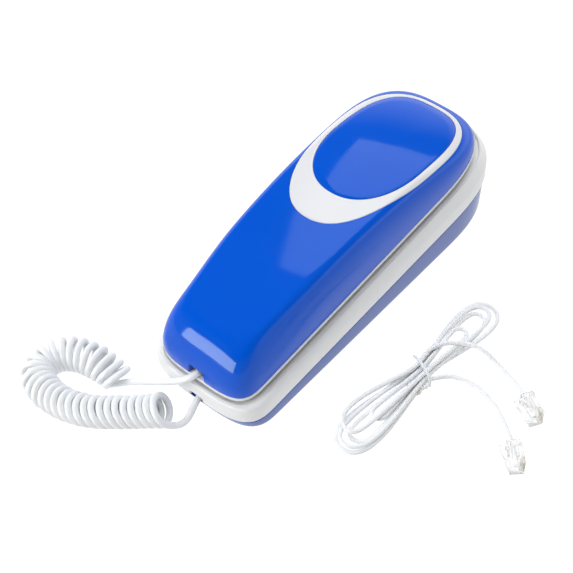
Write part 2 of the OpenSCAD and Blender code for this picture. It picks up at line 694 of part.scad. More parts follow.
base_bottom_shell();
base_top_shell();
rubber_feet();
base_screws();
base_circuit_board();
ringer_buzzer();
ballast_plate();
hook_switch_body();
hook_plunger();
hook_spring();
ringer_slider();
ringer_switch_body();
line_jack();
base_cord_jack();
handset_back_shell();
crescent_trim();
ear_cap();
handset_front_shell();
earpiece_speaker();
microphone_capsule();
keypad_board();
keypad_mat();
handset_screws();
handset_cord_jack();
dial_key(3, 0);  // key_1
dial_key(3, 1);  // key_2
dial_key(3, 2);  // key_3
dial_key(2, 0);  // key_4
dial_key(2, 1);  // key_5
dial_key(2, 2);  // key_6
dial_key(1, 0);  // key_7
dial_key(1, 1);  // key_8
dial_key(1, 2);  // key_9
dial_key(0, 0);  // key_star
dial_key(0, 1);  // key_0
dial_key(0, 2);  // key_hash
function_key(0);  // key_flash
function_key(1);  // key_redial
function_key(2);  // key_mute
handset_plug_upper();
handset_plug_lower();
handset_cord_lead_upper();
handset_cord_coil();
handset_cord_lead_lower();
line_cord_hank();
line_cord_tail_a();
line_cord_tail_b();
line_plug_a();
line_plug_b();
line_plug_contacts();
twist_tie();
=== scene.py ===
import math

import bmesh
import bpy
from mathutils import Matrix, Vector
from mathutils.bvhtree import BVHTree


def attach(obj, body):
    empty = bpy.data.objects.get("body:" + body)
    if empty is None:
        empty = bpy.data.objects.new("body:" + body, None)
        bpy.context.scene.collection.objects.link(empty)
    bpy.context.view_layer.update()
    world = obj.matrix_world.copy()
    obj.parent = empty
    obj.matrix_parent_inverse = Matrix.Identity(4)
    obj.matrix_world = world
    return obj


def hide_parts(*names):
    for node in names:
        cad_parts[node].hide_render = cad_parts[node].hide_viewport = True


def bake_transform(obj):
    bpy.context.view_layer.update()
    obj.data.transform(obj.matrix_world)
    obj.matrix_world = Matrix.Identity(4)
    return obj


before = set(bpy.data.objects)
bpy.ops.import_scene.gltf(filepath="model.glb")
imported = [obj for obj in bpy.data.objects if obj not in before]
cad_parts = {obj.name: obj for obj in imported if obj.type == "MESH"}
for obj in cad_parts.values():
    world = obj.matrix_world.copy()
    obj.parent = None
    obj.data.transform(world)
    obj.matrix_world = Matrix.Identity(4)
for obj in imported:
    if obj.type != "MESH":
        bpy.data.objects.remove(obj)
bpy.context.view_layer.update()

# A slimline telephone: one long handset lies face down over a wedge-shaped base.
# Shapes are worked out in millimetres, in the frame of the CAD model, and turned into metres at the end.
MM = 0.001
EASING_PASSES, EASING_REACH = 220, 3


# ---------------------------------------- sums
def mix(a, b, t):
    return a + (b - a) * t


def smooth(low, high, value):
    t = min(max((value - low) / (high - low), 0), 1)
    return t * t * (3 - 2 * t)


def evenly(points, step):
    """The points of a polyline, taken again at an even spacing."""
    points = [Vector(p) for p in points]
    along = [0]
    for a, b in zip(points, points[1:]):
        along.append(along[-1] + (b - a).length)
    count = max(round(along[-1] / step), 1)
    result, i = [], 0
    for k in range(count + 1):
        want = along[-1] * k / count
        while i < len(along) - 2 and along[i + 1] < want:
            i += 1
        span = along[i + 1] - along[i] or 1
        result.append(points[i].lerp(points[i + 1], (want - along[i]) / span))
    return result


def rounded(points, step, passes):
    """A smooth curve near given points, which keeps its two ends."""
    curve = evenly(points, step)
    for _ in range(passes):
        curve = [curve[0]] + [
            (curve[i - 1] + curve[i] * 2 + curve[i + 1]) / 4 for i in range(1, len(curve) - 1)
        ] + [curve[-1]]
    return evenly(curve, step)


def bend_radius(before, here, after):
    """The radius of the circle through three points."""
    area = (here - before).cross(after - before).length / 2
    return (here - before).length * (after - here).length * (before - after).length / max(4 * area, 1e-9)


def eased(curve, tightest, step):
    """Opens out the bends that are tighter than a radius, as far as the passes allow."""
    near = EASING_REACH
    for _ in range(EASING_PASSES):
        for i in range(near, len(curve) - near):
            if bend_radius(curve[i - near], curve[i], curve[i + near]) < tightest:
                curve[i] = (curve[i - 1] + curve[i + 1]) / 2
    return evenly(curve, step)


def path_length(points):
    return sum((b - a).length for a, b in zip(points, points[1:]))


# ---------------------------------------- camera
CAMERA_AZIMUTH = 42.6
CAMERA_ELEVATION = 53.0
CAMERA_ROLL = -4.0
CAMERA_DISTANCE = 650.0
CAMERA_TARGET = Vector((0, 0, 25))
CAMERA_PAN = 19.6  # how far the camera is moved left and down, square to its own view
CAMERA_LENS = 87.7
SENSOR = 36.0


def camera_axes():
    a, e, r = (math.radians(v) for v in (CAMERA_AZIMUTH, CAMERA_ELEVATION, CAMERA_ROLL))
    back = Vector((math.sin(a) * math.cos(e), -math.cos(a) * math.cos(e), math.sin(e)))
    level = Vector((math.cos(a), math.sin(a), 0))
    upright = back.cross(level)
    right = level * math.cos(r) + upright * math.sin(r)
    up = upright * math.cos(r) - level * math.sin(r)
    return right, up, back


def make_camera():
    right, up, back = camera_axes()
    place = CAMERA_TARGET + back * CAMERA_DISTANCE - (right + up) * CAMERA_PAN
    turn = Matrix((right, up, back)).transposed().to_4x4()
    data = bpy.data.cameras.new("studio_camera")
    data.lens = CAMERA_LENS
    data.sensor_width = SENSOR
    data.clip_start, data.clip_end = 0.05, 50
    camera = placed("studio_camera", data)
    camera.matrix_world = Matrix.Translation(place * MM) @ turn
    bpy.context.scene.camera = camera


# ---------------------------------------- outlines
FRONT_CAP = 19
BACK_CAP, BACK_POWER = 50, 3.05
FRONT_STEPS, SIDE_STEPS, BACK_STEPS = 20, 34, 30
OVAL_POINTS = 144
TILT = math.radians(6)
BASE_LENGTH = 190
BASE_PLAN = {"length": BASE_LENGTH, "front": 61, "back": 76, "shift": 0, "power": 3.55, "reach": 0}
HANDSET_LENGTH = (BASE_LENGTH - 9.4) / math.cos(TILT)
HANDSET_PLAN = {
    "length": HANDSET_LENGTH, "front": 51.6, "back": 66.6, "shift": -1.3, "power": 4.2, "reach": 0.9,
}
RECESS_PLAN = {**HANDSET_PLAN, "power": 3.55, "reach": 0}
LIP_HEIGHT = 31
ON_BASE = Matrix.Translation((0, 0, LIP_HEIGHT)) @ Matrix.Rotation(TILT, 4, "X")


def cap_point(angle, power):
    c, s = max(math.cos(angle), 0), max(math.sin(angle), 0)
    reach = (c**power + s**power) ** (-1 / power)
    return c * reach, s * reach


def right_side(length, front_power):
    half, side = length / 2, length - FRONT_CAP - BACK_CAP
    points = []
    for i in range(FRONT_STEPS):
        x, y = cap_point(math.radians(90 - 90 * i / FRONT_STEPS), front_power)
        points.append((x if i else 0, FRONT_CAP * (1 - y) - half))
    for i in range(SIDE_STEPS + 1):
        points.append((1, FRONT_CAP - half + side * i / SIDE_STEPS))
    for i in range(1, BACK_STEPS + 1):
        x, y = cap_point(math.radians(90 * i / BACK_STEPS), BACK_POWER)
        points.append((x if i < BACK_STEPS else 0, half - BACK_CAP * (1 - y)))
    return points


def plan_ring(plan, side=0, front=0, back=0):
    """The outline of the base or the handset, drawn in at its sides, front and back."""
    length = plan["length"]
    right = []
    for part, y in right_side(length, plan["power"]):
        width = mix(plan["front"], plan["back"], y / length + 0.5) / 2
        inset = mix(front - plan["reach"], back, smooth(-40, 40, y))
        right.append((part * (width - side), y * (1 - 2 * inset / length) + plan["shift"]))
    return right + [(-x, y) for x, y in reversed(right[1:-1])]


def raised(ring, height):
    return [Vector((x, y, height(x, y) if callable(height) else height)) for x, y in ring]


def seam_z(x, y):
    return 16 + 13 / BASE_LENGTH * y


def deck_z(x, y):
    return 27 + 15 / BASE_LENGTH * y


def lip_z(x, y):
    return LIP_HEIGHT + math.tan(TILT) * y


def above(surface, distance):
    return lambda x, y: surface(x, y) + distance


def egg(middle, front, back, width, front_power, back_power):
    """An oval outline whose two ends differ."""
    points = []
    for i in range(OVAL_POINTS):
        a = 2 * math.pi * i / OVAL_POINTS
        power = front_power if math.sin(a) < 0 else back_power
        reach = front if math.sin(a) < 0 else back
        size = (abs(math.cos(a)) ** power + abs(math.sin(a)) ** power) ** (-1 / power)
        points.append((width * math.cos(a) * size, middle + reach * math.sin(a) * size))
    return points


# ---------------------------------------- mesh making
FILLET_STEPS = 4
SHARP, ROUND_SHARP, CORD_SHARP = 30, 50, 80  # the angle, in degrees, from which an edge looks sharp


def placed(name, data):
    """A new object in the scene, for a mesh, a text, a light or a camera."""
    piece = bpy.data.objects.new(name, data)
    bpy.context.collection.objects.link(piece)
    return piece


def from_bmesh(name, bm):
    mesh = bpy.data.meshes.new(name)
    bm.to_mesh(mesh)
    bm.free()
    return placed(name, mesh)


def side_faces(rows, count):
    """The faces between rows of points that each close into a ring."""
    faces = []
    for k in range(rows - 1):
        for i in range(count):
            j = (i + 1) % count
            faces.append((k * count + i, k * count + j, (k + 1) * count + j, (k + 1) * count + i))
    return faces


def fillet(rings, radii):
    """Rounds the corners that a stack of rings makes from one ring to the next."""
    result = [rings[0]]
    for k in range(1, len(rings) - 1):
        if not radii.get(k):
            result.append(rings[k])
            continue
        for s in range(FILLET_STEPS + 1):
            t, ring = s / FILLET_STEPS, []
            for before, corner, after in zip(rings[k - 1], rings[k], rings[k + 1]):
                down, on = before - corner, after - corner
                a = corner + down * min(radii[k] / (down.length or 1), 0.48)
                b = corner + on * min(radii[k] / (on.length or 1), 0.48)
                ring.append(a * (1 - t) ** 2 + corner * 2 * t * (1 - t) + b * t * t)
            result.append(ring)
    return result + [rings[-1]]


def loft(rings, columns, bottom=None, top=None):
    """A closed solid through rings that start at the front; each cap is a grid of crosswise strips."""
    count, half = len(rings[0]), len(rings[0]) // 2
    verts = [p for ring in rings for p in ring]
    faces = side_faces(len(rings), count)

    def cap(start, lift, flip):
        rows = [[start]]
        for i in range(1, half):
            right, left = start + i, start + count - i
            row = [right]
            for c in range(1, columns):
                p = verts[right].lerp(verts[left], c / columns)
                if lift:
                    p.z = lift(p.x, p.y)
                verts.append(p)
                row.append(len(verts) - 1)
            rows.append(row + [left])
        rows.append([start + half])
        for low, high in zip(rows, rows[1:]):
            for c in range(columns):
                if len(low) == 1:
                    face = (low[0], high[c], high[c + 1])
                elif len(high) == 1:
                    face = (low[c], high[0], low[c + 1])
                else:
                    face = (low[c], high[c], high[c + 1], low[c + 1])
                faces.append(face[::-1] if flip else face)

    cap(0, bottom, True)
    cap((len(rings) - 1) * count, top, False)
    return verts, faces


def new_piece(name, verts, faces):
    mesh = bpy.data.meshes.new(name)
    mesh.from_pydata([tuple(v) for v in verts], [], faces)
    bm = bmesh.new()
    bm.from_mesh(mesh)
    bmesh.ops.recalc_face_normals(bm, faces=bm.faces)
    bm.to_mesh(mesh)
    bm.free()
    return placed(name, mesh)


def turned(name, profile, centre, sides, stretch=0):
    """A solid turned about an upright axis; stretch draws the circle out sideways into a slot."""
    verts = []
    for radius, z in profile:
        for i in range(sides):
            a = 2 * math.pi * i / sides
            x, y = radius * math.cos(a), radius * math.sin(a)
            verts.append((centre[0] + x + math.copysign(stretch, x), centre[1] + y, z))
    faces = side_faces(len(profile), sides)
    faces.append(tuple(range(sides))[::-1])
    faces.append(tuple(range((len(profile) - 1) * sides, len(profile) * sides)))
    return new_piece(name, verts, faces)


def block(name, low, high, edge=0, segments=3):
    """A block with rounded edges."""
    bm = bmesh.new()
    bmesh.ops.create_cube(bm, size=1)
    for v in bm.verts:
        v.co = Vector(mix(low[i], high[i], v.co[i] + 0.5) for i in range(3))
    if edge:
        bmesh.ops.bevel(bm, geom=bm.edges[:], offset=edge, segments=segments, profile=0.5, affect="EDGES")
    return from_bmesh(name, bm)


def carve(piece, tool, how="DIFFERENCE"):
    """Cuts a tool out of a piece, or joins it on, and removes the tool."""
    change = piece.modifiers.new("carve", "BOOLEAN")
    change.operation, change.solver, change.object = how, "EXACT", tool
    seen = piece.evaluated_get(bpy.context.evaluated_depsgraph_get())
    mesh = bpy.data.meshes.new_from_object(seen)
    piece.modifiers.clear()
    piece.data = mesh
    bpy.data.objects.remove(tool)


def join(name, pieces):
    """One piece in place of several, which are removed."""
    bm = bmesh.new()
    for piece in pieces:
        piece.data.transform(piece.matrix_basis)
        bm.from_mesh(piece.data)
        bpy.data.objects.remove(piece)
    return from_bmesh(name, bm)


def settle(piece, material, body=None, replaces=(), place=None, sharp=SHARP):
    """Puts a finished piece in its place in metres, and gives it its shading, material and body."""
    mesh = piece.data
    mesh.transform(Matrix.Scale(MM, 4) @ (place or Matrix.Identity(4)))
    for polygon in mesh.polygons:
        polygon.use_smooth = True
    mesh.set_sharp_from_angle(angle=math.radians(sharp))
    mesh.materials.clear()
    mesh.materials.append(material)
    if body:
        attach(piece, body)
    if replaces:
        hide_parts(*replaces)
    return piece


def tube(name, path, radius, sides):
    """A round cord along a path, with closed ends and no twist."""
    path = [Vector(p) for p in path]
    count = len(path)
    heading = [(path[min(i + 1, count - 1)] - path[max(i - 1, 0)]).normalized() for i in range(count)]
    side = heading[0].orthogonal().normalized()
    verts = []
    for i in range(count):
        side = (side - heading[i] * side.dot(heading[i])).normalized()
        up = heading[i].cross(side)
        for k in range(sides):
            a = 2 * math.pi * k / sides
            verts.append(path[i] + (side * math.cos(a) + up * math.sin(a)) * radius)
    faces = side_faces(count, sides)
    for end, order in ((0, -1), (count - 1, 1)):
        verts.append(path[end] + heading[end] * order * radius * 0.25)
        for k in range(sides):
            faces.append((end * sides + k, end * sides + (k + 1) % sides, len(verts) - 1)[::order])
    return new_piece(name, verts, faces)


# ---------------------------------------- materials
NOISE_RANGE = (0.3, 0.7)
WEAR_SCALE = 3.7


def shader(name, colour, roughness, **constants):
    material = bpy.data.materials.new(name)
    material.use_nodes = True
    nodes = material.node_tree.nodes
    surface = nodes["Principled BSDF"]
    surface.inputs["Base Color"].default_value = (*colour, 1)
    surface.inputs["Roughness"].default_value = roughness
    for key, value in constants.items():
        surface.inputs[key.replace("_", " ")].default_value = value
    return material, surface


def noise(tree, vector, scale, octaves):
    cloud = tree.nodes.new("ShaderNodeTexNoise")
    cloud.inputs["Scale"].default_value = scale
    cloud.inputs["Detail"].default_value = octaves
    tree.links.new(vector, cloud.inputs["Vector"])
    return cloud.outputs["Fac"]


def blend_colours(tree, value, stops, into):
    """Feeds a socket with a colour that runs from one stop to the other as the value grows."""
    ramp = tree.nodes.new("ShaderNodeValToRGB")
    for element, (position, colour) in zip(ramp.color_ramp.elements, stops):
        element.position, element.color = position, (*colour, 1)
    tree.links.new(value, ramp.inputs["Fac"])
    tree.links.new(ramp.outputs["Color"], into)


def map_range(tree, value, given, wanted, into):
    span = tree.nodes.new("ShaderNodeMapRange")
    span.inputs["From Min"].default_value, span.inputs["From Max"].default_value = given
    span.inputs["To Min"].default_value, span.inputs["To Max"].default_value = wanted
    tree.links.new(value, span.inputs["Value"])
    tree.links.new(span.outputs["Result"], into)


def emboss(tree, surface, height, strength, distance):
    relief = tree.nodes.new("ShaderNodeBump")
    relief.inputs["Strength"].default_value = strength
    relief.inputs["Distance"].default_value = distance
    tree.links.new(height, relief.inputs["Height"])
    tree.links.new(relief.outputs["Normal"], surface.inputs["Normal"])


def detail(material, surface, colour, spread, scale, rough, bump, fine, stretch=(1, 1, 1)):
    """Uneven colour and roughness over a surface, with a fine moulded grain in its normal."""
    tree = material.node_tree
    place = tree.nodes.new("ShaderNodeTexCoord").outputs["Object"]
    stretched = tree.nodes.new("ShaderNodeMapping")
    stretched.inputs["Scale"].default_value = stretch
    tree.links.new(place, stretched.inputs["Vector"])
    vector = stretched.outputs["Vector"]
    low = [max(c * (1 - spread), 0) for c in colour]
    high = [min(c * (1 + spread), 1) for c in colour]
    cloud = noise(tree, vector, scale, 5)
    blend_colours(tree, cloud, ((NOISE_RANGE[0], low), (NOISE_RANGE[1], high)), surface.inputs["Base Color"])
    wear = noise(tree, vector, scale * WEAR_SCALE, 6)
    map_range(tree, wear, NOISE_RANGE, rough, surface.inputs["Roughness"])
    emboss(tree, surface, noise(tree, place, fine, 2), bump, 0.0001)
    return material


def moulded(name, colour, rough, spread, scale, bump, fine, **constants):
    material, surface = shader(name, colour, rough[0], **constants)
    return detail(material, surface, colour, spread, scale, rough, bump, fine)


def brushed(name, colour, rough, stretch=(1, 1, 1), scale=300, spread=0.12):
    material, surface = shader(name, colour, rough[0], Metallic=1.0)
    return detail(material, surface, colour, spread, scale, rough, 0.08, 1800, stretch)


def board_green():
    """Solder mask over a grid of copper tracks."""
    material, surface = shader("board_green", (0.02, 0.16, 0.07), 0.35)
    tree = material.node_tree
    place = tree.nodes.new("ShaderNodeTexCoord").outputs["Object"]
    tracks = tree.nodes.new("ShaderNodeTexBrick")
    tracks.inputs["Scale"].default_value = 150
    tracks.inputs["Mortar Size"].default_value = 0.08
    tracks.inputs["Color1"].default_value = (0.02, 0.15, 0.06, 1)
    tracks.inputs["Color2"].default_value = (0.015, 0.12, 0.05, 1)
    tracks.inputs["Mortar"].default_value = (0.05, 0.26, 0.1, 1)
    tree.links.new(place, tracks.inputs["Vector"])
    tree.links.new(tracks.outputs["Color"], surface.inputs["Base Color"])
    emboss(tree, surface, tracks.outputs["Fac"], 0.3, 0.0002)
    return material


def clear_plastic():
    tint = (0.99, 0.99, 0.99)
    material, surface = shader("clear_plug", tint, 0.15, Transmission_Weight=0.8, IOR=1.27)
    return detail(material, surface, tint, 0.01, 200, (0.16, 0.24), 0.02, 1200)


# Plastics and rubber: colour, roughness, how uneven, its scale, grain and its scale
MOULDED = {
    "white_shell": ((0.85, 0.857, 0.86), (0.3, 0.34), 0.006, 60, 0.03, 2600),
    "trim_white": ((0.76, 0.775, 0.81), (0.16, 0.22), 0.01, 60, 0.03, 2600),
    "white_button": ((0.8, 0.8, 0.78), (0.3, 0.4), 0.015, 90, 0.08, 2200),
    "key_white": ((0.8, 0.81, 0.83), (0.28, 0.38), 0.015, 120, 0.08, 2200),
    "key_print": ((0.012, 0.02, 0.07), (0.35, 0.5), 0.2, 300, 0.1, 3000),
    "feet_rubber": ((0.035, 0.035, 0.037), (0.6, 0.8), 0.2, 250, 0.4, 1500),
    "mat_rubber": ((0.32, 0.33, 0.35), (0.55, 0.7), 0.06, 200, 0.3, 1500),
    "black_part": ((0.02, 0.02, 0.022), (0.4, 0.55), 0.25, 160, 0.2, 1800),
    "jack_plastic": ((0.62, 0.62, 0.58), (0.35, 0.5), 0.04, 120, 0.1, 2000),
    "cord_white": ((0.9, 0.92, 0.935), (0.3, 0.4), 0.01, 160, 0.015, 1500),
    "tie_white": ((0.86, 0.87, 0.88), (0.35, 0.5), 0.02, 300, 0.1, 1500),
    "tie_paper": ((0.78, 0.74, 0.66), (0.6, 0.8), 0.06, 500, 0.3, 1500),
}
# Metals: colour, roughness, the way the brushing runs, its scale, how uneven
BRUSHED = {
    "screw_steel": ((0.62, 0.61, 0.6), (0.2, 0.4)),
    "spring_steel": ((0.6, 0.6, 0.62), (0.15, 0.3), (1, 1, 6)),
    "ballast_steel": ((0.42, 0.42, 0.43), (0.35, 0.6), (8, 1, 1), 120, 0.2),
    "speaker_steel": ((0.3, 0.3, 0.32), (0.3, 0.5), (1, 1, 1), 200),
    "capsule_aluminium": ((0.75, 0.75, 0.76), (0.25, 0.4)),
    "contact_gold": ((0.87, 0.76, 0.55), (0.25, 0.4), (1, 1, 1), 900, 0.06),
}


def glossy_blue(name, colour, rough, **constants):
    return moulded(name, colour, rough, 0.03, 22, 0.008, 3000, **constants)


def make_materials():
    looks = {name: moulded(name, *values) for name, values in MOULDED.items()}
    looks |= {name: brushed(name, *values) for name, values in BRUSHED.items()}
    looks["blue_shell"] = glossy_blue("blue_shell", (0.0005, 0.094, 0.66), (0.06, 0.09),
                                      Specular_Tint=(0.85, 1, 0.75, 1), Specular_IOR_Level=0.3)
    # The base's pan is the same blue plastic as the handset; its colour is painted darker than the handset's
    # blue, as painted shade on its down-facing walls
    looks["blue_pan_painted_shade"] = glossy_blue("blue_pan_painted_shade", (0.0005, 0.075, 0.45), (0.1, 0.14),
                                    Specular_Tint=(1, 1, 0.75, 1), IOR=1.9)
    looks["board_green"] = board_green()
    looks["clear_plug"] = clear_plastic()
    return looks


LOOK = make_materials()


# ---------------------------------------- handset cord
CORD_RADIUS = 1.6
CORD_SIDES, CORD_STEP = 14, 1.2
COIL_RADIUS = 6.4
TURN_STEPS = 24
COIL_MARGIN = 1.9  # how far along its route the first turn starts
COIL_START, COIL_END = -60, 195  # where on a turn the curly stretch begins and ends, in degrees
UPPER_PLUG_Y = HANDSET_LENGTH / -2 + 0.3
UPPER_PLUG_ENTRY = ON_BASE @ Vector((0, UPPER_PLUG_Y, 4.7))
UPPER_LEAD = [
    (-0.3, -93.6, 25.8), (-2.2, -95.7, 24.6), (-5.2, -97.6, 22.6), (-9.6, -99.4, 19.8), (-15, -101.3, 16.8),
    (-21, -103.2, 13.6), (-26, -104.6, 10.6), (-30, -105.4, 8), (-32.8, -106.2, 5.7),
]
COIL_ROUTE = [
    (-34, -108.2), (-42, -107.6), (-50, -107.8), (-58, -109.2), (-65, -113.5), (-69, -120.3), (-68.5, -127),
    (-63, -132), (-54, -133.5), (-44, -132), (-34, -128), (-25, -121.5), (-16, -114), (-8, -107),
]
LOWER_LEAD = [
    (-0.6, -107.2, 1.7), (1.2, -105.2, 2.3), (1.4, -102.4, 4.2), (0.9, -98.8, 7), (0.2, -95, 9.3),
]
LOWER_PLUG_ENTRY = (0, -88.6, 10)


def coil_lean(s, total):
    """How far a turn's top leans back along the coil, in degrees; it leans on again before the bend."""
    forward = smooth(14, 28, s) * (1 - smooth(0.35 * total, 0.45 * total, s))
    return 33 * (1 - smooth(0, 24, s)) - 8 * forward + 34 * smooth(0.42 * total, 0.62 * total, s)


def coil_yaw(s, total):
    return -14 * (1 - smooth(0, 24, s)) - 8 * smooth(0.6 * total, total, s)


def coil_pitch(s, total):
    return mix(3.9, 3.45, smooth(0.4 * total, 0.6 * total, s))


def coil_radius(s, total):
    """The turns are wider up to the bend, and the last one is pulled wide."""
    bend = mix(6.9, COIL_RADIUS, smooth(0.4 * total, 0.62 * total, s))
    return mix(COIL_RADIUS, bend, smooth(0, 12, s)) + 0.7 * smooth(total - 10, total, s)


def coil_stretch(total):
    """How much the pitch must grow for the last turn to end at its own angle."""
    count = sum(0.1 / coil_pitch(i / 10, total) for i in range(19, int(total * 10)))
    spare = (COIL_START / 360 + count - COIL_END / 360) % 1
    return count / (count - spare)


def coil_turns():
    """The turns of the curly stretch, from the handset's end to the base's end."""
    axis = rounded([(x, y, 0) for x, y in COIL_ROUTE], 0.5, 60)
    total = path_length(axis)
    stretch = coil_stretch(total)
    s, angle, points = COIL_MARGIN, math.radians(COIL_START), []
    while s < total:
        at = min(s / total * (len(axis) - 1), len(axis) - 1.001)
        i = int(at)
        centre = axis[i].lerp(axis[i + 1], at - i)
        ahead = axis[min(i + 6, len(axis) - 1)] - axis[max(i - 6, 0)]
        ahead = Matrix.Rotation(math.radians(coil_yaw(s, total)), 3, "Z") @ ahead.normalized()
        lean = math.radians(coil_lean(s, total))
        side = ahead.cross(Vector((0, 0, 1)))
        top = Vector((0, 0, math.cos(lean))) - ahead * math.sin(lean)
        radius = coil_radius(s, total) * (1 + 0.012 * math.sin(angle * 0.37))
        centre.z = CORD_RADIUS + 0.05 + radius * math.cos(lean)
        points.append(centre + (top * math.sin(angle) - side * math.cos(angle)) * radius)
        angle += 2 * math.pi / TURN_STEPS
        s += coil_pitch(s, total) * stretch / TURN_STEPS
    return points


def make_handset_cord():
    turns = coil_turns()
    into_turns = [(-34.9, -107, 4.1), (-36.9, -108.3, 2.9), turns[0]]
    out_of_turns = [turns[-1], (-3.5, -110, 2.8), (-2.3, -108.9, 1.75)]
    start = rounded([UPPER_PLUG_ENTRY, *UPPER_LEAD, *into_turns], CORD_STEP, 8)
    end = rounded([*out_of_turns, *LOWER_LEAD, LOWER_PLUG_ENTRY], CORD_STEP, 8)
    path = rounded(start + turns[1:-1] + end, CORD_STEP, 2)
    cord = tube("curly_handset_cord", path, CORD_RADIUS, CORD_SIDES)
    stands_for = ("handset_cord_lead_upper", "handset_cord_coil", "handset_cord_lead_lower")
    settle(cord, LOOK["cord_white"], replaces=stands_for, sharp=CORD_SHARP)
    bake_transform(cord)


# ---------------------------------------- line cord
LINE_RADIUS = 1.05
LINE_FOLD = 4.3  # folds tighter than this are opened out
LINE_STEP = 1.0
LOBE_STEPS = 24
FLOOR_LANE, UPPER_LANE, TOP_LANE = 1.05, 3.15, 5.3
TIE = Vector((68, -18))
TIE_TURN = -24
TIE_RADIUS, TIP_RADIUS, TIE_SIDES, TIE_STEP = 0.72, 0.6, 12, 0.3
TWIST_RADIUS, TWIST_STEPS = 0.75, 28
LOBE_FRONT = Vector((62, -73))
LOBE_BACK = Vector((72, 33))
TAIL_A = [
    (64, -8, 5.45), (66.6, -2.5, 5.45), (71.7, 2.6, 5.45), (78.5, 6.2, 5.45), (82.4, 7, 5.45), (86.5, 7.2, 4),
    (90.5, 6.9, 2), (95, 6, 1.05), (101, 4.4, 1.05), (106, 2, 2), (110, -0.4, 3.6), (113, -2.6, 4.8),
]
TAIL_B = [
    (74.2, -16.6, 1.05), (77.7, -12, 1.05), (83.6, -9.5, 1.05), (90.6, -8.7, 1.05), (98.2, -10.1, 1.05),
    (105.1, -12.9, 1.05), (111.6, -17, 1.05), (116, -20.5, 2), (119.4, -23.6, 3.6), (121.8, -26, 4.8),
]
PLUG_LENGTH, PLUG_WIDTH, PLUG_HEIGHT = 12.4, 6.6, 9.65
PLUG_GRIP, PLUG_AXIS_Z = 6.5, 4.82  # how far the cord runs into a plug, and how high
CONTACT_COUNT, CONTACT_PITCH = 6, 1.27
# Where the cord meets each plug, and which way the plug points, in degrees
PLUG_A = (113, -2.6, -33)
PLUG_B = (121.8, -26, -46)
# Where the cord crosses under the tie each time, from the bundle's middle and from the floor
CROSSINGS = [
    (3.5, FLOOR_LANE), (3.5, FLOOR_LANE), (1.2, FLOOR_LANE), (1.2, FLOOR_LANE), (3.5, UPPER_LANE),
    (3.5, UPPER_LANE), (1.2, UPPER_LANE), (1.2, UPPER_LANE), (2.4, TOP_LANE), (2.6, TOP_LANE),
]
# Each pass round a lobe: how far it stops short, its two half widths, and its height at the far end
FRONT_PASSES = [
    (1.1, 13.4, 10.6, FLOOR_LANE), (6.2, 9.2, 4.6, FLOOR_LANE), (2.6, 11.8, 7.6, UPPER_LANE),
    (9.0, 6.4, 2.6, UPPER_LANE), (7.5, 3.4, 13.4, TOP_LANE),
]
BACK_PASSES = [
    (1.1, 11.6, 11.4, FLOOR_LANE), (6.4, 7.6, 5.4, FLOOR_LANE), (4.6, 9.0, 7.0, UPPER_LANE),
    (8.6, 5.8, 3.6, UPPER_LANE),
]


def lobe_pass(far, shape, leaving, coming):
    """One pass of the cord, from the tie out round a lobe and home again."""
    short, half_out, half_home, far_z = shape
    reach = (far - TIE).length
    ahead = (far - TIE) / reach
    side = Vector((-ahead.y, ahead.x))
    points = []
    for i in range(1, LOBE_STEPS):
        a = 2 * math.pi * i / LOBE_STEPS
        s = (1 - math.cos(a)) / 2
        home = a > math.pi
        waist, z = coming if home else leaving
        out = waist * (1 - s) + (half_home if home else half_out) * abs(math.sin(a)) ** 0.72 * s
        flat = TIE + ahead * (reach - short) * s + side * (-out if home else out)
        points.append((flat.x, flat.y, mix(z, far_z, smooth(0.05, 0.75, s))))
    return points


def hank_route():
    points = []
    for i in range(len(CROSSINGS) - 1):
        far = LOBE_BACK if i % 2 else LOBE_FRONT
        shape = (BACK_PASSES if i % 2 else FRONT_PASSES)[i // 2]
        points += lobe_pass(far, shape, CROSSINGS[i], CROSSINGS[i + 1])
    return points


def inside_plug(place):
    """Where the cord ends in a plug."""
    x, y, heading = place
    turn = math.radians(heading)
    return Vector((x + PLUG_GRIP * math.cos(turn), y + PLUG_GRIP * math.sin(turn), PLUG_AXIS_Z))


def make_line_cord(plugs):
    route = [inside_plug(PLUG_B), *reversed(TAIL_B), *hank_route(), *TAIL_A, inside_plug(PLUG_A)]
    path = eased(rounded(route, LINE_STEP, 14), LINE_FOLD, LINE_STEP)
    cord = tube("tied_line_cord", path, LINE_RADIUS, CORD_SIDES)
    stands_for = ("line_cord_hank", "line_cord_tail_a", "line_cord_tail_b")
    settle(cord, LOOK["cord_white"], "base", stands_for, sharp=CORD_SHARP)


def plug_frame(place):
    x, y, heading = place
    return Matrix.Translation((x, y, 0)) @ Matrix.Rotation(math.radians(heading), 4, "Z")


def make_line_plug(name, node, place):
    """A clear six-way modular plug on its side; its latch is hinged at the nose and points back."""
    half = PLUG_WIDTH / 2
    body = block(name, (0, -half, 0.02), (PLUG_LENGTH, half, PLUG_HEIGHT), 0.45)
    middle = PLUG_HEIGHT / 2
    carve(body, block("cavity", (-1, -1.5, middle - 2.6), (7.6, 1.5, middle + 2.6), 0.3))
    carve(body, block("crimp", (3.2, -half - 1, middle - 1.7), (5.6, -half + 1.1, middle + 1.7), 0.2))
    for i in range(CONTACT_COUNT):
        z = middle + (i - (CONTACT_COUNT - 1) / 2) * CONTACT_PITCH
        carve(body, block("slot", (7.9, half - 2.6, z - 0.3), (PLUG_LENGTH - 0.9, half + 1, z + 0.3)))
    low, high = middle - 1.6, middle + 1.6
    latch = block("latch", (-11.4, -0.62, low), (0.6, 0.62, high), 0.25)
    shoulder = block("shoulder", (-4.6, -1.0, middle - 2.6), (-0.4, 0.5, middle + 2.6), 0.25)
    arm = Matrix.Translation((PLUG_LENGTH - 0.7, 0.55 - half, 0)) @ Matrix.Rotation(math.radians(14), 4, "Z")
    for part in (latch, shoulder):
        part.data.transform(arm)
        carve(body, part, "UNION")
    return settle(body, LOOK["clear_plug"], "base", (node,), plug_frame(place))


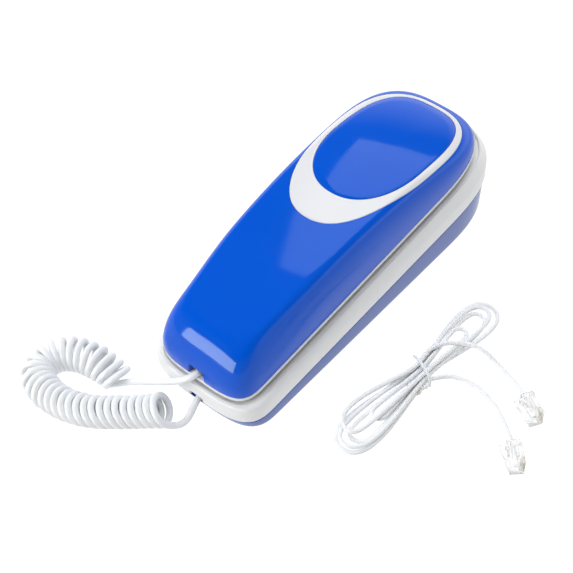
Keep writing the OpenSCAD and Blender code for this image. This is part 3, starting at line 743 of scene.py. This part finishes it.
def make_tie():
    """A coated wire over the waist of the hank, with its ends twisted together at one side."""
    on_hank = Matrix.Translation((TIE.x, TIE.y, 0)) @ Matrix.Rotation(math.radians(TIE_TURN), 4, "Z")
    over = [
        (-5.2, 1.6, 0.7), (-6.6, 1.9, 1.1), (-7.9, 1.3, 2.4), (-8.2, 0.3, 4), (-7, -0.2, 5.6), (-4.2, 0, 6.7),
        (0, 0, 7.2), (4.2, 0, 6.6), (6.3, 0, 5), (7.2, -0.4, 3),
    ]
    twist = []
    for i in range(TWIST_STEPS):
        a, t = 2 * math.pi * i / 9, i / (TWIST_STEPS - 1)
        x, z = 7.4 - 0.4 * t + TWIST_RADIUS * math.cos(a), 1.75 + TWIST_RADIUS * math.sin(a)
        twist.append((x, -1.2 - 4.6 * t, z))
    body = tube("tie_wire", rounded([*over, *twist], TIE_STEP, 6), TIE_RADIUS, TIE_SIDES)
    settle(body, LOOK["tie_white"], "base", ("twist_tie",), on_hank, CORD_SHARP)
    ends = [
        [(7.0, -5.6, 1.6), (7.4, -7.2, 1.3), (6.6, -8.8, 0.9), (4.6, -9.6, 0.8), (2.6, -9.0, 0.8)],
        [(7.3, -5.2, 1.9), (8.8, -6.0, 1.9), (9.2, -7.4, 1.4), (8.0, -8.4, 1.0)],
    ]
    tips = [tube("tip", rounded(end, TIE_STEP, 8), TIP_RADIUS, TIE_SIDES) for end in ends]
    settle(join("tie_wire_ends", tips), LOOK["tie_paper"], "base", (), on_hank, CORD_SHARP)


make_camera()
make_handset_cord()
make_line_cord([make_line_plug("clear_plug_a", "line_plug_a", PLUG_A),
                make_line_plug("clear_plug_b", "line_plug_b", PLUG_B)])
make_tie()


# ---------------------------------------- handset back
LIP = 2.6
SHELL_WALL = 2.4
CROWN_SIDE, CROWN_FRONT, CROWN_POWER = 8, 18, 2.9
CROWN_FRONT_POWER = 1.95
CROWN_STEPS = 26
CROWN_DOME = 0.8
TRIM_DEPTH, TRIM_GAP = 1.4, 0.16
EDGE_ROUND = 0.3
TRIM_FOOT = -1.3
CAP_BULGE = 1.1
RING_MIDDLE, CAP_MIDDLE = 47.2, 40.6
EAR_Y, MOUTH_Y = 52, -65
# The two bulges of the handset: radius, depth, place, and how far each is drawn out sideways
ENDS = ((23, 9, EAR_Y, 0), (12, 6, MOUTH_Y, 6))
BULGE_ROUND, BULGE_WALL, ROUND_SIDES = 1.6, 2, 72


def handset_half_width(y):
    return mix(HANDSET_PLAN["front"], HANDSET_PLAN["back"], y / HANDSET_LENGTH + 0.5) / 2


def crown_height(x, y):
    """Height of the handset's back over its lip plane; it is slightly domed from side to side."""
    t = y / BASE_LENGTH + 0.5
    along = 22 * (1 - t) ** 2 + 89 * t * (1 - t) + 4 * t * t
    return along + CROWN_DOME * (1 - (x / handset_half_width(y)) ** 2)


def crown_rings(wall=0, low=LIP):
    rings = []
    for k in range(CROWN_STEPS + 1):
        across, up = cap_point(math.radians(90 * k / CROWN_STEPS), CROWN_POWER)
        slant = 1 - max(1 - up**CROWN_FRONT_POWER, 0) ** (1 / CROWN_FRONT_POWER)
        plans = [plan_ring(HANDSET_PLAN, wall + CROWN_SIDE * e, wall + CROWN_FRONT * e, wall + CROWN_SIDE * e)
                 for e in (slant, 1 - across)]
        ring = []
        for near, far in zip(*plans):
            x, y = Vector(near).lerp(Vector(far), smooth(-80, -30, far[1]))
            ring.append(Vector((x, y, low + (crown_height(x, y) - wall - low) * up)))
        rings.append(ring)
    return rings


def crown_solid(name):
    outside = crown_rings()
    edge = raised(plan_ring(HANDSET_PLAN, 0.3, 0.3, 0.3), LIP + 0.02)
    outside[0] = raised(plan_ring(HANDSET_PLAN), LIP + 0.35)
    inside = crown_rings(SHELL_WALL, LIP + 0.02)[::-1]
    verts, faces = loft([*inside, edge, *outside], 22, above(crown_height, -SHELL_WALL), crown_height)
    return new_piece(name, verts, faces)


def surface_finder():
    """A function that gives the height of the whole crown over a point of the lip plane."""
    verts, faces = loft(crown_rings(), 22, None, crown_height)
    tree = BVHTree.FromPolygons(verts, faces)

    def height(x, y):
        hit = tree.ray_cast(Vector((x, y, 100)), Vector((0, 0, -1)))[0]
        return hit.z if hit else LIP
    return height


CROWN_AT = surface_finder()


def ring_outline(grow=0):
    return egg(RING_MIDDLE, 59.6 + grow, 38.2 + grow, 27.6 + grow, 2.26, 2.6)


def cap_outline(grow=0):
    return egg(CAP_MIDDLE, 35.2 + grow, 42.2 + grow, 24.0 + grow, 2.2, 2.95)


def sheet_over(outline, centre, stops):
    """Rings of points from a centre out to an outline, on the crown; stops are (part, distance, lift)."""
    rings = []
    for part, distance, lift in stops:
        ring = []
        for x, y in outline:
            out = Vector((x, y)) - centre
            p = centre + out * (part - distance / out.length)
            ring.append(Vector((p.x, p.y, CROWN_AT(p.x, p.y) + lift)))
        rings.append(ring)
    return rings


def close_rings(rings, capped=True):
    """Points and faces of a stack of rings; each end is closed by a fan if it is capped."""
    count = len(rings[0])
    verts = [p for ring in rings for p in ring]
    faces = side_faces(len(rings), count)
    for start in (0, (len(rings) - 1) * count) if capped else ():
        verts.append(sum((verts[start + i] for i in range(count)), Vector()) / count)
        faces += [(start + i, start + (i + 1) % count, len(verts) - 1) for i in range(count)]
    return verts, faces


def pocket_tool():
    """The shallow seat in the crown that the ring and the cap lie in."""
    stops = [(part / 14, 0, -TRIM_DEPTH) for part in range(1, 15)]
    rings = sheet_over(ring_outline(TRIM_GAP), Vector((0, RING_MIDDLE)), stops)
    rings.append([Vector((p.x, p.y, 70)) for p in rings[-1]])
    return new_piece("pocket", *close_rings(rings))


# How deep each end of the notch is, its half width, and its top
NOTCH = ((-6, 5.4, 9.9), (-0.2, 4.3, 9.1), (12, 4.1, 8.9))


def notch_tool():
    """The way in for the plug: a hole through the wall that widens outwards with flat sides."""
    rings = []
    for depth, half, top in NOTCH:
        y = UPPER_PLUG_Y + depth
        upper = half - 0.6
        corners = ((-half, y, LIP - 1), (half, y, LIP - 1), (upper, y, top), (-upper, y, top))
        rings.append([Vector(corner) for corner in corners])
    return new_piece("notch", *close_rings(rings))


def make_handset_back():
    shell = crown_solid("handset_crown")
    carve(shell, pocket_tool())
    carve(shell, notch_tool())
    carve(shell, block("jack_room", (-5, UPPER_PLUG_Y + 0.8, LIP - 0.5), (5, UPPER_PLUG_Y + 13.6, 10.3)))
    settle(shell, LOOK["blue_shell"], "handset", ("handset_back_shell",), ON_BASE)


def make_crescent_trim():
    inner, outer = cap_outline(TRIM_GAP), ring_outline()
    r = EDGE_ROUND
    edge = [(0, TRIM_FOOT), (0, -r), (0.12 * r, -0.5 * r), (0.45 * r, -0.15 * r), (r, 0)]
    rings = []
    stops = [(d, lift, 0) for d, lift in edge] + [(0, 0, part / 10) for part in range(1, 10)]
    stops += [(d, lift, 1) for d, lift in reversed(edge)]
    for distance, lift, part in stops:
        ring = []
        for a, b in zip(inner, outer):
            a, b = Vector(a), Vector(b)
            across = (b - a).normalized()
            if part == 0:
                p = a + across * distance
            elif part == 1:
                p = b - across * distance
            else:
                p = a.lerp(b, mix(r / (b - a).length, 1 - r / (b - a).length, part))
            ring.append(Vector((p.x, p.y, CROWN_AT(p.x, p.y) + lift)))
        rings.append(ring)
    count = len(inner)
    verts, faces = close_rings(rings, False)
    last = (len(rings) - 1) * count
    faces += [(last + i, last + (i + 1) % count, (i + 1) % count, i) for i in range(count)]
    trim = new_piece("crescent_ring", verts, faces)
    settle(trim, LOOK["trim_white"], "handset", ("crescent_trim",), ON_BASE, ROUND_SHARP)


def make_ear_cap():
    r = EDGE_ROUND
    stops = [(k / 20, 0, CAP_BULGE * (1 - (k / 20) ** 2)) for k in range(1, 19)]
    stops += [(1, r, 0.04), (1, 0.45 * r, -0.15 * r), (1, 0.12 * r, -0.5 * r), (1, 0, -r), (1, 0, TRIM_FOOT)]
    stops += [(k / 6, 0, TRIM_FOOT) for k in range(5, 0, -1)]
    rings = sheet_over(cap_outline(), Vector((0, CAP_MIDDLE)), stops)
    cap = new_piece("oval_cap", *close_rings(rings))
    settle(cap, LOOK["blue_shell"], "handset", ("ear_cap",), ON_BASE, ROUND_SHARP)


# ---------------------------------------- handset front
KEY_PITCH = (14, 11)
KEY_SIZE = (10, 7)
KEY_ROWS = (("star", "0", "hash"), ("7", "8", "9"), ("4", "5", "6"), ("1", "2", "3"))
KEY_SIGNS = {"star": "*", "hash": "#"}
FUNCTION_KEYS = ("flash", "redial", "mute")
FUNCTION_SIZE = (9, 4.4)
FUNCTION_Y = 14
KEYPAD_Y = -32
KEY_GAP = 0.3
KEY_STAND = 1.6
KEY_FLANGE = (2.7, 3.7)
HANDSET_SCREWS = (-46.5, 24.5)


def key_places():
    """Name, centre and size of each key, in the handset's own frame."""
    places = []
    for row, names in enumerate(KEY_ROWS):
        for column, name in enumerate(names):
            places.append((name, (1 - column) * KEY_PITCH[0], KEYPAD_Y + row * KEY_PITCH[1], KEY_SIZE))
    for column, name in enumerate(FUNCTION_KEYS):
        places.append((name, (1 - column) * KEY_PITCH[0], FUNCTION_Y, FUNCTION_SIZE))
    return places


def handset_ring(side, front, back, n):
    return raised(plan_ring(HANDSET_PLAN, side, front, back), n)


def bulge(radius, depth, y, stretch):
    """The solid under an end of the handset, with a rounded rim."""
    r = BULGE_ROUND
    corner = [(radius - r + r * math.sin(a), -depth + r - r * math.cos(a))
              for a in (math.radians(15 * k) for k in range(7))]
    return turned("bulge", [*corner, (radius, 1)], (0, y), ROUND_SIDES, stretch)


def make_handset_front():
    rings = [
        handset_ring(3, 2.8, 3, 0), handset_ring(3, 2.8, 3, -2.6), handset_ring(1.4, 1.2, 1.4, -2.6),
        handset_ring(1.4, 1.2, 1.4, 0), handset_ring(0, 0, 0, 0), handset_ring(0, 0, 0, LIP),
        handset_ring(2, 2, 2, LIP),
    ]
    rings = fillet(rings, {0: 0.3, 1: 0.3, 2: 0.7, 3: 0.25, 4: 0.8, 5: 0.35})
    shell = new_piece("handset_face", *loft(rings, 22))
    for end in ENDS:
        carve(shell, bulge(*end), "UNION")
    wells = []
    for radius, depth, y, stretch in ENDS:
        radius, depth = radius - BULGE_WALL, depth - BULGE_WALL
        wells.append(turned("well", [(radius, -depth), (radius, 9)], (0, y), ROUND_SIDES, stretch))
    carve(shell, join("wells", wells))
    ear_hole = [(1.2, -12), (1.2, -3)]
    holes = [turned("hole", ear_hole, (0, EAR_Y), 20)]
    for name, x, y, (w, h) in key_places():
        half_x, half_y = w / 2 + KEY_GAP, h / 2 + KEY_GAP
        holes.append(block("hole", (x - half_x, y - half_y, -1), (x + half_x, y + half_y, 6)))
    for k in range(6):
        a = math.radians(60 * k)
        holes.append(turned("hole", ear_hole, (6 * math.cos(a), EAR_Y + 6 * math.sin(a)), 20))
    holes += [turned("hole", [(0.8, -9), (0.8, -2)], (4 * s, MOUTH_Y), 16) for s in (-1, 0, 1)]
    screw_hole = [(3.1, -1), (3.1, 1.2), (1.7, 1.21), (1.7, 8)]
    holes += [turned("hole", screw_hole, (0, y), 32) for y in HANDSET_SCREWS]
    carve(shell, join("holes", holes))
    carve(shell, block("jack_pocket", (-5, UPPER_PLUG_Y - 0.2, 0.8), (5, UPPER_PLUG_Y + 14.2, 5.8)))
    settle(shell, LOOK["white_shell"], "handset", ("handset_front_shell",), ON_BASE)


def key_print(name, x, y):
    """A thin printed sign on the outer face of a key, which reads from below."""
    low = -KEY_STAND - 0.04
    if name in FUNCTION_KEYS:
        kind = FUNCTION_KEYS.index(name)
        dots = [[(0, 0)], [(-1.2, 0), (1.2, 0)], [(-1.8, 0), (0, 0), (1.8, 0)]][kind]
        profile = [(0.5, low), (0.5, low + 0.2)]
        return join("print", [turned("dot", profile, (x + dx, y + dy), 20) for dx, dy in dots])
    text = bpy.data.curves.new("sign", "FONT")
    text.body = KEY_SIGNS.get(name, name)
    text.size, text.extrude = 4.6, 0.1
    text.align_x, text.align_y = "CENTER", "CENTER"
    holder = placed("sign", text)
    mesh = bpy.data.meshes.new_from_object(holder.evaluated_get(bpy.context.evaluated_depsgraph_get()))
    bpy.data.objects.remove(holder)
    mesh.transform(Matrix.Translation((x, y, low + 0.1)) @ Matrix.Rotation(math.pi, 4, "Y"))
    return placed("print", mesh)


def make_keys():
    for name, x, y, (w, h) in key_places():
        cap = block("keycap_" + name, (x - w / 2, y - h / 2, -KEY_STAND), (x + w / 2, y + h / 2, 3), 0.7, 4)
        flange = block("flange", (x - w / 2 - 1, y - h / 2 - 1, KEY_FLANGE[0]),
                       (x + w / 2 + 1, y + h / 2 + 1, KEY_FLANGE[1]), 0.15, 2)
        carve(cap, flange, "UNION")
        node = "key_" + name
        settle(cap, LOOK["key_white"], node, (node,), ON_BASE)
        sign = key_print(name, x, y)
        sign.name = "sign_" + name
        settle(sign, LOOK["key_print"], node, (), ON_BASE)


# ---------------------------------------- base
FLOOR_Z = 1.2
SCREWS = ((22.5, -80), (-22.5, -80), (22, 80), (-22, 80))
FEET = ((20, -68), (-20, -68), (24, 64), (-24, 64))
KEYHOLES = (-50.8, 50.8)
RECESS = 3.4
HOOK = (-13, 24, 12, 4)
CEILING = RECESS + 2.2  # the inside of the deck, under the lip plane
WELL_GAP, WELL_DROP = 0.8, 0.3
SLIDER_Y, SLIDER_Z = 18, 10


def base_ring(side, front, back, height):
    return raised(plan_ring(BASE_PLAN, side, front, back), height)


def recess_ring(grow, n):
    """The edge of the seat for the handset, at a height over the lip plane."""
    flat = plan_ring(RECESS_PLAN, -grow, 0.3 - grow, -0.1 - grow)
    return [ON_BASE @ Vector((x, y, n)) for x, y in flat]


def wall_openings():
    """The ways in for the handset's cord, the line cord and the ringer switch."""
    edge = BASE_LENGTH / 2
    return [
        block("opening", (-3.9, -edge - 6, 6.9), (3.9, -edge + 6, 13.2), 1.2),
        block("opening", (-7, edge - 7, 7.6), (7, edge + 7, 17.6), 0.8),
        block("opening", (-48, SLIDER_Y - 6.5, SLIDER_Z - 1.8), (-28, SLIDER_Y + 6.5, SLIDER_Z + 1.8), 0.6),
    ]


def make_base_top():
    inner = base_ring(5.6, 4.6, 6.6, above(lip_z, -CEILING))
    rings = [
        inner, base_ring(2.7, 2.8, 2.9, above(seam_z, 0.05)), base_ring(0.5, 0.6, 0.7, above(seam_z, 0.05)),
        base_ring(0, 0, 0, above(seam_z, 0.8)), base_ring(0, 0, 0, above(deck_z, -2)),
        base_ring(0.8, 0.5, 1, deck_z), base_ring(2.4, 1.4, 3.4, above(lip_z, -1.6)),
        recess_ring(1.9, -1.6), recess_ring(1.9, -RECESS), recess_ring(1.1, -RECESS),
    ]
    rings = fillet(rings, {1: 0.2, 2: 0.2, 3: 0.5, 4: 1.6, 5: 0.7, 6: 0.3, 7: 0.2, 8: 0.5})
    shell = new_piece("base_deck_shell", *loft(rings, 20))
    for radius, depth, y, stretch in ENDS:
        profile = [(radius + 3, -depth - 2.5), (radius + 3, -4)]
        well = turned("well", profile, (0, y), ROUND_SIDES, stretch)
        well.data.transform(ON_BASE)
        carve(shell, well, "UNION")
    for x, y in SCREWS:
        carve(shell, turned("boss", [(3.6, 7.8), (3.6, lip_z(x, y) - CEILING + 1)], (x, y), 40), "UNION")
    flare = [(0, 0), (0.1, 0.3), (0.35, 0.55), (0.7, 0.72)]
    cuts = []
    for radius, depth, y, stretch in ENDS:
        radius, depth = radius + WELL_GAP, depth + WELL_DROP
        rim = [(radius + r, -RECESS - 0.7 + z) for r, z in flare]
        cut = turned("well", [(radius, -depth), *rim, (radius + 0.8, 3)], (0, y), ROUND_SIDES, stretch)
        cut.data.transform(ON_BASE)
        cuts.append(cut)
    cuts += wall_openings()
    x, y, w, h = HOOK
    half_x, half_y = w / 2 + 0.3, h / 2 + 0.3
    cuts.append(block("hook_hole", (x - half_x, y - half_y, 20), (x + half_x, y + half_y, 40), 0.4))
    cuts += [turned("pilot", [(1.2, 6), (1.2, 14.2)], p, 24) for p in SCREWS]
    carve(shell, join("cuts", cuts[:1]))
    carve(shell, join("cuts", cuts[1:]))
    settle(shell, LOOK["white_shell"], "base", ("base_top_shell",))


def make_base_bottom():
    rings = [
        base_ring(5, 6, 6.4, FLOOR_Z + 2.2), base_ring(2.9, 3.1, 3.2, above(seam_z, -0.05)),
        base_ring(1.3, 1.7, 1.8, above(seam_z, -0.05)), base_ring(0.4, 0.9, 1, above(seam_z, -1.0)),
        base_ring(0.4, 2.5, 2.9, 3.4), base_ring(1.6, 4, 4.2, FLOOR_Z), base_ring(6, 7, 7.2, FLOOR_Z),
    ]
    rings = fillet(rings, {0: 0.5, 2: 0.2, 3: 0.3, 4: 2, 5: 1.2})
    shell = new_piece("base_pan", *loft(rings, 20))
    for p in SCREWS:
        carve(shell, turned("boss", [(3.6, FLOOR_Z + 1), (3.6, FLOOR_Z + 6.4)], p, 40), "UNION")
    cuts = wall_openings()
    cuts += [turned("head", [(3.1, 0), (3.1, 3.8), (1.7, 3.81), (1.7, 12)], p, 36) for p in SCREWS]
    cuts += [turned("foot", [(5.2, 0), (5.2, 2)], p, 40) for p in FEET]
    slots = []
    for y in KEYHOLES:
        cuts.append(turned("entry", [(4.6, 0), (4.6, 5)], (0, y - 4.5), 40))
        slots.append(block("slot", (-2.4, y - 4.5, 0), (2.4, y + 4.5, 5)))
        slots.append(turned("slot_end", [(2.4, -0.1), (2.4, 5.1)], (0, y + 4.5), 32))
    carve(shell, join("cuts", cuts))
    for slot_tool in slots:
        carve(shell, slot_tool)
    settle(shell, LOOK["blue_pan_painted_shade"], "base", ("base_bottom_shell",))


# ---------------------------------------- parts kept as the CAD made them
KEPT = {
    "rubber_feet": "feet_rubber", "base_screws": "screw_steel", "base_circuit_board": "board_green",
    "ringer_buzzer": "black_part", "ballast_plate": "ballast_steel", "hook_switch_body": "black_part",
    "hook_plunger": "white_button", "hook_spring": "spring_steel", "ringer_slider": "white_button",
    "ringer_switch_body": "black_part", "line_jack": "jack_plastic", "base_cord_jack": "jack_plastic",
    "earpiece_speaker": "speaker_steel", "microphone_capsule": "capsule_aluminium",
    "keypad_board": "board_green", "keypad_mat": "mat_rubber", "handset_screws": "screw_steel",
    "handset_cord_jack": "jack_plastic", "line_plug_contacts": "contact_gold",
    "handset_plug_upper": "clear_plug", "handset_plug_lower": "clear_plug",
}


def finish_kept_parts():
    for node, look in KEPT.items():
        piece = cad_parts[node]
        piece.data.materials.clear()
        piece.data.materials.append(LOOK[look])


# ---------------------------------------- studio
FLOOR_SIZE, FLOOR_ALBEDO = 30, 0.1
FLOOR_LIGHT, FLOOR_BOUNCE = 1.08, 0.9


def stage_plane(name, z, radiance):
    bm = bmesh.new()
    bmesh.ops.create_grid(bm, x_segments=2, y_segments=2, size=FLOOR_SIZE / 2)
    plane = from_bmesh(name, bm)
    plane.location.z = z
    material, surface = shader(name, (FLOOR_ALBEDO,) * 3, 0.9)
    surface.inputs["Specular IOR Level"].default_value = 0
    surface.inputs["Emission Color"].default_value = (1, 1, 1, 1)
    surface.inputs["Emission Strength"].default_value = radiance
    plane.data.materials.append(material)
    return plane


def make_floor():
    """One plane is what the camera sees; the other lights the phone's sides and shows in its shine."""
    seen = stage_plane("studio_floor", -0.0003, FLOOR_LIGHT)
    seen.visible_glossy = False
    seen.visible_diffuse = False
    bounce = stage_plane("studio_floor_bounce", -0.0006, FLOOR_BOUNCE)
    bounce.visible_camera = False
    bounce.visible_shadow = False


def softbox(name, direction, distance, size, radiance, spin=0, glossy=True, diffuse=True):
    """A rectangular studio light that faces the phone; radiance is what a reflection of it shows."""
    data = bpy.data.lights.new(name, "AREA")
    data.shape = "RECTANGLE"
    data.size, data.size_y = size
    data.energy = radiance * math.pi * size[0] * size[1]
    light = placed(name, data)
    out = Vector(direction).normalized()
    turn = out.to_track_quat("Z", "Y").to_matrix().to_4x4() @ Matrix.Rotation(math.radians(spin), 4, "Z")
    light.matrix_world = Matrix.Translation(out * distance) @ turn
    light.visible_camera = False
    light.visible_glossy = glossy
    light.visible_diffuse = diffuse


def make_world():
    """Bright low down, as a white sweep is, most of all at the back, and dark overhead."""
    world = bpy.data.worlds.new("studio")
    world.use_nodes = True
    bpy.context.scene.world = world
    tree = world.node_tree
    background = tree.nodes["Background"]
    split = tree.nodes.new("ShaderNodeSeparateXYZ")
    tree.links.new(tree.nodes.new("ShaderNodeTexCoord").outputs["Generated"], split.inputs["Vector"])
    stops = ((0.24, (1, 1, 1)), (0.46, (0.08, 0.08, 0.08)))
    blend_colours(tree, split.outputs["Z"], stops, background.inputs["Color"])
    map_range(tree, split.outputs["Y"], (-0.4, 0.5), (0.35, 1.6), background.inputs["Strength"])


def make_studio():
    make_floor()
    make_world()
    softbox("dim_softbox", (-0.2, 0.54, 0.82), 2.0, (1.12, 1.4), 1.9, spin=-8)
    softbox("front_softbox", (-0.2, -1, 0.2), 2.0, (1.5, 0.78), 9, spin=-5, diffuse=False)
    softbox("fill", (-0.1, -0.1, 1), 2.2, (2.5, 2.5), 1.75, glossy=False)
    softbox("low_fill", (-0.45, -0.75, 0.4), 2.5, (1.8, 1.2), 4.6, glossy=False)
    bpy.context.scene.view_settings.view_transform = "Standard"


make_handset_back()
make_crescent_trim()
make_ear_cap()
make_handset_front()
make_keys()
make_base_top()
make_base_bottom()
finish_kept_parts()
make_studio()
